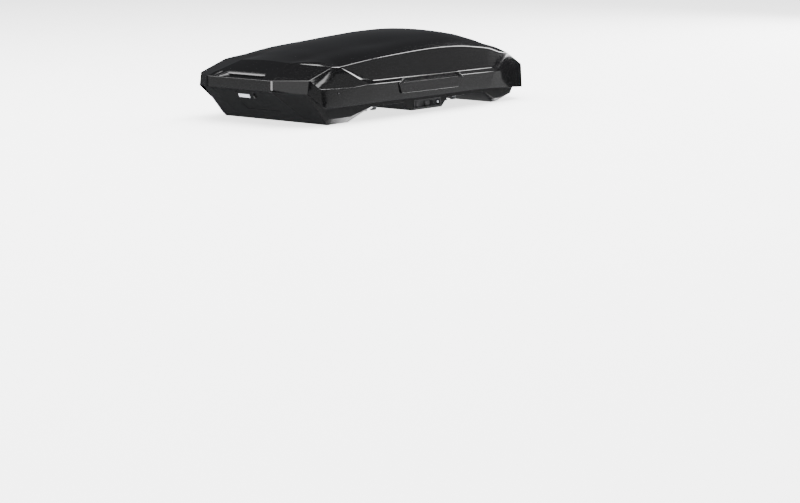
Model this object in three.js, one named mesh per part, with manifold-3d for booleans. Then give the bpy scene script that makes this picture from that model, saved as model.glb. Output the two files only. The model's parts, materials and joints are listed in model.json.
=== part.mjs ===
// Roof cargo box that opens from either side, with its locks, hinges, lid lifters and roof bar clamps.
// Millimetres. +X points to the nose, +Y to the left side, +Z up. The belly touches z = 0.
import * as THREE from 'three';
import { mergeVertices } from 'three/addons/utils/BufferGeometryUtils.js';
import Module from 'manifold-3d';

const wasm = await Module();
wasm.setup();

// ---------------------------------------------------------------- driving dimensions
const LENGTH = 2072;
const WIDTH = 816;
const HEIGHT = 403;

const LID_WALL = 4;
const BASE_WALL = 4;
const FIT_GAP = 0.5;          // between pieces that touch

const LID_RIM_Z = 88;         // lower edge of the lid along the side
const LID_RIM_INSET = 36;     // from the widest point in to the lid's lower edge
const CREASE_Z = 182;         // widest line of the lid
const LEDGE_RISE = 20;        // bevel under the sunken side panel
const LEDGE_INSET = 10;
const SHOULDER_INSET = 48;
const SHOULDER_BULGE = 9;
const BAND_HALF = 200;        // half width of the raised band along the top
const TAIL_HALF = 208;        // half widths of the upright tail face and of its upper edge
const TAIL_TOP_HALF = 148;
const NOSE_TIP_HALF = 72;

const BASE_RIM_Z = 96;
const BASE_INSET = 63;        // from the widest point in to the side of the base
const BASE_RIM_INSET = 57;
const BELLY_INSET = 83;
const BELLY_SILL_Z = 30;
const SEAT_Z = 65;            // flats that sit on the roof bars
const SKIRT_Z = 18;           // lower edge of the base around the lock

const REAR_BAR = 730;         // from the tail to the rear roof bar
const NOSE_BAR = 647;         // from the nose to the front roof bar
const SEAT_TAIL = 125;        // from the rear bar to the two ends of its seat
const SEAT_MIDDLE = 137;
const SEAT_RAMP = 170;        // from the front bar to the two ends of its seat
const SEAT_NOSE = 175;
const RAMP_REAR = 18;         // from the lock panel to the slopes at both ends of the skirt
const RAMP_FRONT = 8;

const HINGE_INSET = 62;
const HINGE_Z = 108;
const ROD_RADIUS = 4;
const KNUCKLE_RADIUS = 8;
const KNUCKLE_WIDTH = 22;
const RUNNING_GAP = 0.4;
const ROD_REAR = 500;         // from the tail to the rear end of a hinge rod
const ROD_FRONT = 600;        // from the nose to its front end

const SHAFT_DROP = 22;        // claw shaft below the hinge rod
const SHAFT_STEP = 16;        // and inboard of it
const SHAFT_RADIUS = 3.5;
const CLAW_WIDTH = 8;
const CLAW_RELEASE = 50;      // degrees that a claw turns between open and locked
const CLAW_THICK = 7;
const EAR_HALF = 3;           // half thickness of the ears that carry the claw shaft
const EAR_OFFSET = 14;        // from a claw to the ears on both sides of it

const LOCK_X = 42;            // middle of the lock panel
const LOCK_LENGTH = 224;
const LOCK_HEIGHT = 38;
const LOCK_Z = 46;
const LOCK_DEPTH = 14;
const LOCK_FLANGE = 5;
const KEY_RADIUS = 8.5;
const SLIDER_TRAVEL = 25;
const SLIDER_LENGTH = 28;
const SLIDER_INSET = 20;      // from the rear end of the lock panel
const KEY_INSET = 14;         // from its front end
const TRAY_WALL = 2.5;

const GRIP_REAR = -288;
const GRIP_FRONT = 275;
const GRIP_TOP = 202;
const GRIP_BOTTOM = 121;
const GRIP_PROUD = 2;         // beyond the lid's widest line

const CLAMP_Y = 230;
const CLAMP_TRAVEL = 30;
const BAR_GAP = 90;           // clear space between two open-ended jaws
const BAR_HEIGHT = 28;
const JAW_WIDTH = 18;
const JAW_SHANK = 10;
const JAW_SWING = 10;
const JAW_PIN_RADIUS = 4;
const PLATE = 3;              // sheet metal and moulded plates of a clamp
const KNOB_RADIUS = 26;

const LIFTER_REAR = 374;      // from the tail to the rear lifter
const LIFTER_NOSE = 342;      // from the nose to the front lifter
const LIFTER_FOOT_Z = 30;
const LIFTER_HEAD_DROP = 123; // from the top of the lid to the lifter's upper pivot
const LIFTER_PIN = 6;
const TUBE_RADIUS = 11;
const TUBE_WALL = 1.5;
const EYE_RADIUS = 10;
const BOW_WIDTH = 40;
const BOW_DEPTH = 8;
const BOW_GAP = 3;

// ---------------------------------------------------------------- materials
const finish = (color, roughness, metalness) => (
  () => new THREE.MeshStandardMaterial({ color, roughness, metalness })
);
const glossBlack = finish(0x0b0c0e, 0.12, 0);
const satinBlack = finish(0x17181a, 0.55, 0);
const gripBlack = finish(0x101113, 0.4, 0);
const darkPlastic = finish(0x1d1e20, 0.6, 0);
const paleGrey = finish(0xa9abb3, 0.45, 0);
const steel = finish(0x9a9da1, 0.35, 1);
const chrome = finish(0xd8dadd, 0.15, 1);

// ---------------------------------------------------------------- solids
const object = new THREE.Group();

function toSolid(geometry) {
  const bare = geometry.clone();
  bare.deleteAttribute('normal');
  bare.deleteAttribute('uv');
  const merged = mergeVertices(bare, 1e-4);
  return new wasm.Manifold(new wasm.Mesh({
    numProp: 3,
    vertProperties: new Float32Array(merged.attributes.position.array),
    triVerts: new Uint32Array(merged.index.array),
  }));
}

function toGeometry(solid) {
  const mesh = solid.getMesh();
  const geometry = new THREE.BufferGeometry();
  geometry.setAttribute('position', new THREE.BufferAttribute(mesh.vertProperties, 3));
  geometry.setIndex(new THREE.BufferAttribute(mesh.triVerts, 1));
  return geometry;
}

function addPiece(name, shape, material) {
  const geometry = shape.isBufferGeometry ? shape : toGeometry(shape);
  geometry.computeVertexNormals();
  const mesh = new THREE.Mesh(geometry, material());
  mesh.name = name;
  object.add(mesh);
  return mesh;
}

// A box from its lowest to its highest corner.
function block(low, high) {
  const size = high.map((value, axis) => value - low[axis]);
  const geometry = new THREE.BoxGeometry(...size);
  return toSolid(geometry.translate(...low.map((value, axis) => value + size[axis] / 2)));
}

// A round bar along X, Y or Z between two coordinates of that axis.
function bar(axis, centre, from, to, radius, sides = 16) {
  const geometry = new THREE.CylinderGeometry(radius, radius, to - from, sides);
  if (axis === 'x') geometry.rotateZ(-Math.PI / 2);
  if (axis === 'z') geometry.rotateX(Math.PI / 2);
  const middle = (from + to) / 2;
  const [first, second] = centre;
  const place = { x: [middle, first, second], y: [first, middle, second], z: [first, second, middle] };
  return toSolid(geometry.translate(...place[axis]));
}

// An outline in (y, z) carried along X.
function alongX(shape, from, to, curveSegments = 8) {
  const geometry = new THREE.ExtrudeGeometry(shape, { depth: to - from, bevelEnabled: false, curveSegments });
  geometry.applyMatrix4(new THREE.Matrix4().set(0, 0, 1, from, 1, 0, 0, 0, 0, 1, 0, 0, 0, 0, 0, 1));
  return toSolid(geometry);
}

// An outline in (x, z) carried along Y.
function alongY(shape, from, to, curveSegments = 8) {
  const geometry = new THREE.ExtrudeGeometry(shape, { depth: to - from, bevelEnabled: false, curveSegments });
  geometry.applyMatrix4(new THREE.Matrix4().set(1, 0, 0, 0, 0, 0, -1, to, 0, 1, 0, 0, 0, 0, 0, 1));
  return toSolid(geometry);
}

const outline = (points) => new THREE.Shape(points.map(([a, b]) => new THREE.Vector2(a, b)));
const join = (solids) => solids.reduce((sum, solid) => sum.add(solid));
const cut = (solid, tools) => tools.reduce((rest, tool) => rest.subtract(tool), solid);
const mirrorY = (solid) => solid.mirror([0, 1, 0]);

// Pieces are drawn on the left side (+Y); the right-hand twin is the mirror image.
const sides = [
  { name: 'left', place: (solid) => solid },
  { name: 'right', place: mirrorY },
];

// ---------------------------------------------------------------- panelled skins
const rear = (distance) => -LENGTH / 2 + distance;
const nose = (distance) => LENGTH / 2 - distance;
const side = (inset) => WIDTH / 2 - inset;
const top = (drop) => HEIGHT - drop;
const between = (a, b, share) => a.map((value, axis) => value + (b[axis] - value) * share);

// The skin is a row of cross-sections from tail to nose, each a list of points from the open rim to the
// centre line. Both halves and the two end faces share their vertices.
function skin(sections, upward) {
  const positions = [];
  const quad = (a, b, c, d) => positions.push(...a, ...b, ...c, ...a, ...c, ...d);
  const flip = ([x, y, z]) => [x, -y, z];
  const oriented = (a, b, c, d) => (upward ? quad(a, b, c, d) : quad(a, d, c, b));
  const rows = sections[0].length;
  for (let row = 0; row < rows - 1; row += 1) {
    for (let column = 0; column < sections.length - 1; column += 1) {
      const [a, b] = [sections[column][row], sections[column + 1][row]];
      const [c, d] = [sections[column + 1][row + 1], sections[column][row + 1]];
      oriented(b, a, d, c);
      oriented(flip(b), flip(c), flip(d), flip(a));
    }
    const tail = sections[0];
    const tip = sections[sections.length - 1];
    oriented(tail[row], flip(tail[row]), flip(tail[row + 1]), tail[row + 1]);
    oriented(flip(tip[row]), tip[row], tip[row + 1], flip(tip[row + 1]));
  }
  const geometry = new THREE.BufferGeometry();
  geometry.setAttribute('position', new THREE.BufferAttribute(new Float32Array(positions), 3));
  const merged = mergeVertices(geometry, 1e-3);
  const index = [...merged.index.array];
  const kept = [];
  for (let i = 0; i < index.length; i += 3) {
    const [a, b, c] = index.slice(i, i + 3);
    if (a !== b && b !== c && c !== a) kept.push(a, b, c);
  }
  merged.setIndex(kept);
  merged.computeVertexNormals();
  return merged;
}

// Directed edges that no neighbouring face answers: the open rim of a skin.
function rimEdges(index) {
  const edges = new Map();
  for (let i = 0; i < index.length; i += 3) {
    [[0, 1], [1, 2], [2, 0]].forEach(([from, to]) => {
      edges.set(`${index[i + from]}_${index[i + to]}`, [index[i + from], index[i + to]]);
    });
  }
  return [...edges.values()].filter(([from, to]) => !edges.has(`${to}_${from}`));
}

// The skin given a wall on its inner side.
function thickened(surface, wall) {
  const outer = surface.attributes.position;
  const normal = surface.attributes.normal;
  const index = surface.index.array;
  const count = outer.count;
  const vertices = [...outer.array];
  for (let i = 0; i < count; i += 1) {
    vertices.push(
      outer.getX(i) - normal.getX(i) * wall,
      outer.getY(i) - normal.getY(i) * wall,
      outer.getZ(i) - normal.getZ(i) * wall,
    );
  }
  const faces = [...index];
  for (let i = 0; i < index.length; i += 3) {
    faces.push(index[i] + count, index[i + 2] + count, index[i + 1] + count);
  }
  rimEdges(index).forEach(([from, to]) => {
    faces.push(to, from, from + count, to, from + count, to + count);
  });
  const geometry = new THREE.BufferGeometry();
  geometry.setAttribute('position', new THREE.BufferAttribute(new Float32Array(vertices), 3));
  geometry.setIndex(faces);
  return geometry;
}

// The skin filled in across its rim.
function filled(surface) {
  const outer = surface.attributes.position;
  const rim = rimEdges(surface.index.array);
  const middle = outer.count;
  const height = rim.reduce((sum, [from]) => sum + outer.getZ(from), 0) / rim.length;
  const faces = [...surface.index.array];
  rim.forEach(([from, to]) => faces.push(to, from, middle));
  const geometry = new THREE.BufferGeometry();
  const vertices = new Float32Array([...outer.array, 0, 0, height]);
  geometry.setAttribute('position', new THREE.BufferAttribute(vertices, 3));
  geometry.setIndex(faces);
  return toSolid(geometry);
}

// ---------------------------------------------------------------- lid
// Each row: rim, crease, ledge, shoulder, band edge and crown. A ledge left out lies on the face between
// crease and shoulder. The slanted columns carry the bevels at both ends of the sunken side panel.
function lidSection({ rim, crease, ledge, shoulder, band, crown }) {
  const bulge = between(shoulder, band, 0.45);
  bulge[2] += SHOULDER_BULGE * Math.abs(shoulder[1] - band[1]) / (side(SHOULDER_INSET) - BAND_HALF);
  return [rim, crease, ledge ?? between(crease, shoulder, 0.15), shoulder, bulge, band, crown];
}

const rimSide = (x) => [x, side(LID_RIM_INSET), LID_RIM_Z];
const panelColumn = (x, creaseDrop, ledgeInset) => ({
  crease: [x, side(0), CREASE_Z + creaseDrop],
  ledge: [x, side(ledgeInset), CREASE_Z + creaseDrop + LEDGE_RISE - creaseDrop / 2],
});

const lidSections = [
  { // edge of the upright tail face
    rim: [rear(0), TAIL_HALF, LID_RIM_Z + 88], crease: [rear(0), TAIL_HALF, CREASE_Z + 47],
    shoulder: [rear(190), TAIL_TOP_HALF, top(105)], band: [rear(190), TAIL_TOP_HALF, top(105)],
    crown: [rear(190), 0, top(99)],
  },
  { // rear corner
    rim: [rear(101), side(58), LID_RIM_Z + 77], crease: [rear(112), side(58), CREASE_Z + 48],
    shoulder: [rear(288), side(58), top(119)], band: [rear(288), TAIL_TOP_HALF + 8, top(97)],
    crown: [rear(288), 0, top(86)],
  },
  { // where the rim drops to the side
    rim: [rear(188), side(48), LID_RIM_Z + 18], crease: [rear(160), side(23), CREASE_Z + 4],
    shoulder: [rear(300), side(57), top(120)], band: [rear(320), TAIL_TOP_HALF + 10, top(92)],
    crown: [rear(330), 0, top(80)],
  },
  {
    rim: rimSide(rear(227)), crease: [rear(380), side(8), CREASE_Z - 2],
    shoulder: [rear(324), side(56), top(121)], band: [rear(370), TAIL_TOP_HALF + 13, top(83)],
    crown: [rear(390), 0, top(71)],
  },
  { // outer line of the rear bevel
    rim: rimSide(rear(492)), crease: [rear(492), side(3), CREASE_Z + 4],
    shoulder: [rear(338), side(56), top(122)], band: [rear(420), TAIL_TOP_HALF + 17, top(76)],
    crown: [rear(440), 0, top(64)],
  },
  { // inner line of the rear bevel
    rim: rimSide(rear(540)), ...panelColumn(rear(557), 4, LEDGE_INSET + 1),
    shoulder: [rear(350), side(54), top(121)], band: [rear(450), TAIL_TOP_HALF + 20, top(72)],
    crown: [rear(470), 0, top(60)],
  },
  {
    rim: rimSide(rear(656)), ...panelColumn(rear(656), 3, LEDGE_INSET + 1),
    shoulder: [rear(533), side(SHOULDER_INSET), top(103)], band: [rear(560), BAND_HALF - 20, top(58)],
    crown: [rear(570), 0, top(45)],
  },
  {
    rim: rimSide(-200), ...panelColumn(-200, 2, LEDGE_INSET),
    shoulder: [-220, side(SHOULDER_INSET), top(85)], band: [-220, BAND_HALF - 4, top(42)],
    crown: [-220, 0, top(18)],
  },
  {
    rim: rimSide(0), ...panelColumn(0, 0, LEDGE_INSET),
    shoulder: [0, side(SHOULDER_INSET), top(76)], band: [0, BAND_HALF, top(25)], crown: [0, 0, top(3)],
  },
  {
    rim: rimSide(174), ...panelColumn(174, -1, LEDGE_INSET),
    shoulder: [174, side(SHOULDER_INSET), top(74)], band: [174, BAND_HALF, top(18)], crown: [174, 0, top(0)],
  },
  {
    rim: rimSide(340), ...panelColumn(340, -2, LEDGE_INSET),
    shoulder: [340, side(SHOULDER_INSET), top(80)], band: [340, BAND_HALF, top(17)], crown: [340, 0, top(5)],
  },
  {
    rim: rimSide(nose(592)), ...panelColumn(nose(586), -3, LEDGE_INSET),
    shoulder: [nose(568), side(SHOULDER_INSET + 2), top(92)], band: [nose(586), BAND_HALF - 2, top(28)],
    crown: [nose(586), 0, top(18)],
  },
  {
    rim: [nose(540), side(LID_RIM_INSET), LID_RIM_Z - 1], ...panelColumn(nose(520), -3, LEDGE_INSET - 1),
    shoulder: [nose(440), side(SHOULDER_INSET + 4), top(108)], band: [nose(490), BAND_HALF - 4, top(48)],
    crown: [nose(480), 0, top(39)],
  },
  { // inner line of the front bevel
    rim: [nose(510), side(LID_RIM_INSET), LID_RIM_Z - 2], ...panelColumn(nose(487), -3, LEDGE_INSET - 2),
    shoulder: [nose(342), side(58), top(133)], band: [nose(420), BAND_HALF - 8, top(68)],
    crown: [nose(400), 0, top(58)],
  },
  { // outer line of the front bevel, up to the peak of the nose
    rim: [nose(467), side(LID_RIM_INSET), LID_RIM_Z - 3], crease: [nose(467), side(0), CREASE_Z - 4],
    shoulder: [nose(272), side(58), top(140)], band: [nose(330), BAND_HALF - 14, top(91)],
    crown: [nose(310), 0, top(80)],
  },
  { // nose corner
    rim: [nose(109), side(68), LID_RIM_Z - 23], crease: [nose(120), side(68), CREASE_Z - 14],
    ledge: [nose(122), side(68), CREASE_Z - 1], shoulder: [nose(125), side(68), CREASE_Z + 11],
    band: [nose(160), BAND_HALF - 8, top(155)], crown: [nose(141), 0, top(134)],
  },
  {
    rim: [nose(46), BAND_HALF, LID_RIM_Z - 25], crease: [nose(50), BAND_HALF, CREASE_Z - 14],
    ledge: [nose(51), BAND_HALF, CREASE_Z - 2], shoulder: [nose(52), BAND_HALF, CREASE_Z + 10],
    band: [nose(52), BAND_HALF, CREASE_Z + 10], crown: [nose(60), 0, top(183)],
  },
  {
    rim: [nose(0), NOSE_TIP_HALF, LID_RIM_Z - 26], crease: [nose(3), NOSE_TIP_HALF, CREASE_Z - 14],
    ledge: [nose(5), NOSE_TIP_HALF, CREASE_Z - 3], shoulder: [nose(6), NOSE_TIP_HALF, CREASE_Z + 9],
    band: [nose(6), NOSE_TIP_HALF, CREASE_Z + 9], crown: [nose(9), 0, CREASE_Z + 13],
  },
].map(lidSection);

const lidSkin = skin(lidSections, true);
const lidBody = filled(lidSkin);
addPiece('lid_shell', thickened(lidSkin, LID_WALL), glossBlack);

// Height of the lid's inner face above a point, found on the skin itself.
const lidProbe = new THREE.Mesh(lidSkin, new THREE.MeshBasicMaterial({ side: THREE.DoubleSide }));
function ceiling(x, y) {
  const ray = new THREE.Raycaster(new THREE.Vector3(x, y, 2 * HEIGHT), new THREE.Vector3(0, 0, -1));
  return ray.intersectObject(lidProbe)[0].point.z - LID_WALL;
}

// ---------------------------------------------------------------- base
// Each section: rim, waist, sill, belly edge and keel.
const rearBar = rear(REAR_BAR);
const frontBar = nose(NOSE_BAR);

// The open lid's rim swings in at the nose, so the base narrows there.
function baseColumn(x, sill, belly, taper = 0) {
  return [
    [x, side(BASE_RIM_INSET + taper), BASE_RIM_Z], [x, side(BASE_INSET + taper), LID_RIM_Z - 4],
    [x, side(BASE_INSET + taper), sill], [x, side(BELLY_INSET + taper), belly], [x, 0, belly],
  ];
}

const skirtStart = LOCK_X - LOCK_LENGTH / 2 - LOCK_FLANGE - RAMP_REAR;
const skirtEnd = LOCK_X + LOCK_LENGTH / 2 + LOCK_FLANGE + RAMP_FRONT;

const baseSections = [
  [[rear(16), TAIL_HALF - 12, LID_RIM_Z + 98], [rear(18), TAIL_HALF - 12, LID_RIM_Z + 82],
    [rear(240), TAIL_HALF + 6, 24], [rear(275), TAIL_HALF + 9, 0], [rear(275), 0, 0]],
  [[rear(112), side(74), LID_RIM_Z + 89], [rear(116), side(76), LID_RIM_Z + 72], [rear(250), side(73), 24],
    [rear(275), side(77), 0], [rear(277), 0, 0]],
  [[rear(200), side(63), LID_RIM_Z + 30], [rear(204), side(66), LID_RIM_Z + 12],
    [rear(272), side(66), BELLY_SILL_Z], [rear(300), side(80), 0], [rear(300), 0, 0]],
  [[rear(238), side(BASE_RIM_INSET), BASE_RIM_Z + 2], [rear(240), side(BASE_INSET + 1), LID_RIM_Z - 4],
    [rear(287), side(BASE_INSET), BELLY_SILL_Z], [rear(330), side(BELLY_INSET), 0], [rear(330), 0, 0]],
  baseColumn(rear(440), BELLY_SILL_Z, 0),
  baseColumn(rearBar - SEAT_TAIL, SEAT_Z, SEAT_Z),
  baseColumn(rearBar + SEAT_MIDDLE, SEAT_Z, SEAT_Z),
  baseColumn(skirtStart, SKIRT_Z, SKIRT_Z),
  baseColumn(skirtEnd, SKIRT_Z, SKIRT_Z),
  baseColumn(frontBar - SEAT_RAMP, SEAT_Z, SEAT_Z),
  baseColumn(frontBar + SEAT_NOSE, SEAT_Z, SEAT_Z),
  baseColumn(nose(372), 20, 0, 11),
  baseColumn(nose(312), 20, 0, 17),
  [[nose(132), side(102), LID_RIM_Z - 10], [nose(152), side(106), LID_RIM_Z - 30], [nose(164), side(110), 32],
    [nose(180), side(124), 24], [nose(170), 0, 24]],
  [[nose(70), 190, LID_RIM_Z - 10], [nose(94), 186, LID_RIM_Z - 32], [nose(108), 184, 32],
    [nose(122), 178, 24], [nose(122), 0, 24]],
  [[nose(24), NOSE_TIP_HALF - 4, LID_RIM_Z - 10], [nose(48), NOSE_TIP_HALF - 6, LID_RIM_Z - 32],
    [nose(62), NOSE_TIP_HALF - 8, 32], [nose(76), NOSE_TIP_HALF - 10, 24], [nose(76), 0, 24]],
];

const baseSkin = skin(baseSections, false);
const lockWindow = (grow) => block(
  [LOCK_X - LOCK_LENGTH / 2 - grow, side(BASE_INSET) - 12, LOCK_Z - LOCK_HEIGHT / 2 - grow],
  [LOCK_X + LOCK_LENGTH / 2 + grow, side(BASE_INSET) + 12, LOCK_Z + LOCK_HEIGHT / 2 + grow],
);

// Slots that let the jaws of a clamp reach down past the roof bar, wherever the clamp slides.
const slotNear = BAR_GAP / 2 - CLAMP_TRAVEL - 2;
const slotFar = BAR_GAP / 2 + JAW_SHANK + CLAMP_TRAVEL + JAW_SWING;
const jawSlots = (barX, low, high) => [-1, 1].map((end) => block(
  [barX + Math.min(end * slotNear, end * slotFar), CLAMP_Y - JAW_WIDTH / 2 - 2, low],
  [barX + Math.max(end * slotNear, end * slotFar), CLAMP_Y + JAW_WIDTH / 2 + 2, high],
));
const allSlots = (low, high) => [rearBar, frontBar].flatMap((barX) => jawSlots(barX, low, high));

// A wedge on the sloping tail, with a steeper face for the badge. Its points are (x, z).
const PAD_HALF = 58;
const PAD_RUN = 22;
const PAD_ROOT = 2;
const [padTop, padBack] = [0.05, 0.28].map((share) => {
  const [x, , z] = between(baseSections[0][1], baseSections[0][2], share);
  return [x, z];
});
const padFoot = [padTop[0] + PAD_RUN, padBack[1]];
const badgePad = alongY(outline([
  padTop, padFoot, [padBack[0], padBack[1] + PAD_ROOT], [padTop[0], padTop[1] + PAD_ROOT],
]), -PAD_HALF, PAD_HALF);

const floorCuts = [lockWindow(FIT_GAP), ...allSlots(SEAT_Z - 20, SEAT_Z + 20)];
addPiece(
  'base_shell',
  cut(
    toSolid(thickened(baseSkin, BASE_WALL)).add(badgePad),
    [...floorCuts, ...floorCuts.map(mirrorY)],
  ),
  satinBlack,
);

// Floor rails: flat steel bars along the seats, with the same slots.
const railLow = SEAT_Z + BASE_WALL + FIT_GAP;
const railHigh = railLow + 5;
const floorRail = cut(
  block(
    [rearBar - SEAT_TAIL + 10, CLAMP_Y - 32, railLow],
    [frontBar + SEAT_NOSE - 50, CLAMP_Y + 32, railHigh],
  ),
  allSlots(railLow - 5, railHigh + 5),
);
sides.forEach(({ name, place }) => addPiece(`${name}_floor_rail`, place(floorRail), steel));

// Blank badge on the pad's face.
const BADGE = [3, 68, 20];
const padSlope = Math.atan2(padFoot[0] - padTop[0], padTop[1] - padFoot[1]);
const badgeSpot = between(padTop, padFoot, 0.6);
const badgeLift = BADGE[0] / 2 + FIT_GAP;
const badge = addPiece('rear_badge', new THREE.BoxGeometry(...BADGE), paleGrey);
badge.rotation.y = -padSlope;
badge.position.set(
  badgeSpot[0] - badgeLift * Math.cos(padSlope),
  0,
  badgeSpot[1] - badgeLift * Math.sin(padSlope),
);

// ---------------------------------------------------------------- hinge rods, rails and claws
const hingeY = side(HINGE_INSET);
const rodStart = rear(ROD_REAR);
const rodEnd = nose(ROD_FRONT);
const rod = bar('x', [hingeY, HINGE_Z], rodStart, rodEnd, ROD_RADIUS);

const skirtSlope = LID_RIM_INSET / (CREASE_Z - LID_RIM_Z);
const skirtInside = (z) => side(LID_RIM_INSET) - LID_WALL * 1.2 + (z - LID_RIM_Z) * skirtSlope - 3;

const knuckleArm = outline([
  [hingeY + 2, HINGE_Z - 3.5], [skirtInside(HINGE_Z + 6) - 7, HINGE_Z + 2],
  [skirtInside(HINGE_Z + 16) - 4, HINGE_Z + 16], [hingeY + 2, HINGE_Z + 7],
]);

const knuckleX = [0.1, 0.36, 0.64, 0.9].map((share) => rodStart + (rodEnd - rodStart) * share);
const clawX = [0.17, 0.29, 0.83].map((share) => rodStart + (rodEnd - rodStart) * share);

const railBar = alongX(outline([
  [skirtInside(HINGE_Z + 6) - 6, HINGE_Z + 6], [skirtInside(HINGE_Z + 6), HINGE_Z + 6],
  [skirtInside(HINGE_Z + 36), HINGE_Z + 36], [skirtInside(HINGE_Z + 36) - 6, HINGE_Z + 36],
]), rodStart, rodEnd);
const knuckles = knuckleX.flatMap((x) => [
  alongX(knuckleArm, x - KNUCKLE_WIDTH / 2, x + KNUCKLE_WIDTH / 2),
  bar('x', [hingeY, HINGE_Z], x - KNUCKLE_WIDTH / 2, x + KNUCKLE_WIDTH / 2, KNUCKLE_RADIUS),
]);
const hingeRail = cut(join([railBar, ...knuckles]),
  [bar('x', [hingeY, HINGE_Z], rodStart - 10, rodEnd + 10, ROD_RADIUS + RUNNING_GAP)]);

// A claw is drawn locked, with its hook concentric with the shaft, then turned open.
const shaftY = hingeY - SHAFT_STEP;
const shaftZ = HINGE_Z - SHAFT_DROP;
const rodReach = Math.hypot(SHAFT_STEP, SHAFT_DROP) + ROD_RADIUS;
const degrees = (angle) => angle * Math.PI / 180;

function clawShape() {
  const inner = rodReach + 1.5;
  const outer = inner + CLAW_THICK;
  const shape = new THREE.Shape();
  shape.absarc(0, 0, outer, degrees(36), degrees(118), false);
  shape.absarc(0, 0, 9, degrees(150), degrees(400), false);
  shape.lineTo(inner * Math.cos(degrees(88)), inner * Math.sin(degrees(88)));
  shape.absarc(0, 0, inner, degrees(88), degrees(36), true);
  return shape;
}

function claw(x) {
  const flat = { depth: CLAW_WIDTH, bevelEnabled: false, curveSegments: 8 };
  const geometry = new THREE.ExtrudeGeometry(clawShape(), flat);
  geometry.rotateZ(degrees(CLAW_RELEASE));
  geometry.applyMatrix4(new THREE.Matrix4().set(
    0, 0, 1, x - CLAW_WIDTH / 2, 1, 0, 0, shaftY, 0, 1, 0, shaftZ, 0, 0, 0, 1,
  ));
  const bore = bar('x', [shaftY, shaftZ], x - CLAW_WIDTH, x + CLAW_WIDTH, SHAFT_RADIUS + 0.3);
  return toSolid(geometry).subtract(bore);
}

const clawRailY = shaftY - 17;
const earX = clawX.flatMap((x) => [x - EAR_OFFSET, x + EAR_OFFSET]);
const clawRail = cut(
  join([
    block([rodStart, clawRailY - 4, SEAT_Z + BASE_WALL + 1], [rodEnd, clawRailY, shaftZ - 3]),
    ...earX.map((x) => block(
      [x - EAR_HALF, clawRailY - 1, shaftZ - 9],
      [x + EAR_HALF, shaftY + 2 * SHAFT_RADIUS, shaftZ + 2 * SHAFT_RADIUS],
    )),
  ]),
  [bar('x', [shaftY, shaftZ], rodStart - 10, rodEnd + 10, SHAFT_RADIUS + RUNNING_GAP)],
);
const clawShaft = bar('x', [shaftY, shaftZ], rodStart + 20, rodEnd - 20, SHAFT_RADIUS);
const clawNames = ['rear', 'middle', 'front'];

sides.forEach(({ name, place }) => {
  addPiece(`${name}_hinge_rod`, place(rod), steel);
  addPiece(`${name}_hinge_rail`, place(hingeRail), darkPlastic);
  addPiece(`${name}_claw_rail`, place(clawRail), darkPlastic);
  addPiece(`${name}_claw_shaft`, place(clawShaft), steel);
  clawX.forEach((x, i) => addPiece(`${name}_${clawNames[i]}_claw`, place(claw(x)), steel));
});

// ---------------------------------------------------------------- locks
const faceY = side(BASE_INSET);
const trayFloorY = faceY - LOCK_DEPTH;
const lockLow = LOCK_Z - LOCK_HEIGHT / 2;
const lockHigh = LOCK_Z + LOCK_HEIGHT / 2;
const lockRear = LOCK_X - LOCK_LENGTH / 2;
const lockFront = LOCK_X + LOCK_LENGTH / 2;
const keyX = lockFront - KEY_INSET;
const knobRear = lockRear + SLIDER_INSET;

const lockPanel = cut(
  join([
    block([lockRear, trayFloorY - TRAY_WALL, lockLow], [lockFront, faceY + 2, lockHigh]),
    block([lockRear - LOCK_FLANGE, faceY + FIT_GAP, lockLow - LOCK_FLANGE],
      [lockFront + LOCK_FLANGE, faceY + 3, lockHigh + LOCK_FLANGE]),
  ]),
  [
    block([lockRear + TRAY_WALL, trayFloorY, lockLow + TRAY_WALL],
      [lockFront - TRAY_WALL, faceY + 10, lockHigh - TRAY_WALL]),
    block([knobRear + 6, trayFloorY - 10, LOCK_Z - 5],
      [knobRear + 16 + SLIDER_TRAVEL, trayFloorY + 5, LOCK_Z + 5]),
    bar('y', [keyX, LOCK_Z], trayFloorY - 10, trayFloorY + 10, KEY_RADIUS + RUNNING_GAP, 24),
  ],
);
const lockSlider = join([
  block([knobRear, trayFloorY + FIT_GAP, LOCK_Z - 15], [knobRear + SLIDER_LENGTH, faceY - 3, LOCK_Z + 15]),
  block([knobRear + 7, trayFloorY - 8, LOCK_Z - 4.5], [knobRear + 15, trayFloorY + 2, LOCK_Z + 4.5]),
]);
const keyPlug = cut(bar('y', [keyX, LOCK_Z], trayFloorY - 8, faceY - 5, KEY_RADIUS, 24),
  [block([keyX - 1.2, faceY - 10, LOCK_Z - 5], [keyX + 1.2, faceY, LOCK_Z + 5])]);

sides.forEach(({ name, place }) => {
  addPiece(`${name}_lock_panel`, place(lockPanel), darkPlastic);
  addPiece(`${name}_lock_slider`, place(lockSlider), paleGrey);
  addPiece(`${name}_key_plug`, place(keyPlug), chrome);
});

// ---------------------------------------------------------------- side grips on the lid
const gripOuter = side(-GRIP_PROUD);
const gripPrism = alongY(outline([
  [GRIP_REAR, GRIP_TOP - 27], [GRIP_REAR + 44, GRIP_BOTTOM], [GRIP_FRONT - 30, GRIP_BOTTOM - 2],
  [GRIP_FRONT, GRIP_TOP - 35], [GRIP_FRONT - 52, GRIP_TOP], [GRIP_REAR + 48, GRIP_TOP],
]), side(40), gripOuter);
const gripSlant = alongX(outline([
  [side(-20), 100], [side(-20), CREASE_Z - 4], [gripOuter, CREASE_Z - 4],
  [side(14), GRIP_BOTTOM - 6], [side(14), 100],
]), GRIP_REAR - 10, GRIP_FRONT + 10);
const fingerSlot = block([GRIP_REAR + 60, side(4), CREASE_Z - 8], [GRIP_FRONT - 60, side(-20), GRIP_TOP - 6]);
const grip = cut(gripPrism, [gripSlant, fingerSlot, lidBody.translate([0, FIT_GAP, 0])]);
sides.forEach(({ name, place }) => addPiece(`${name}_grip`, place(grip), gripBlack));

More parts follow.
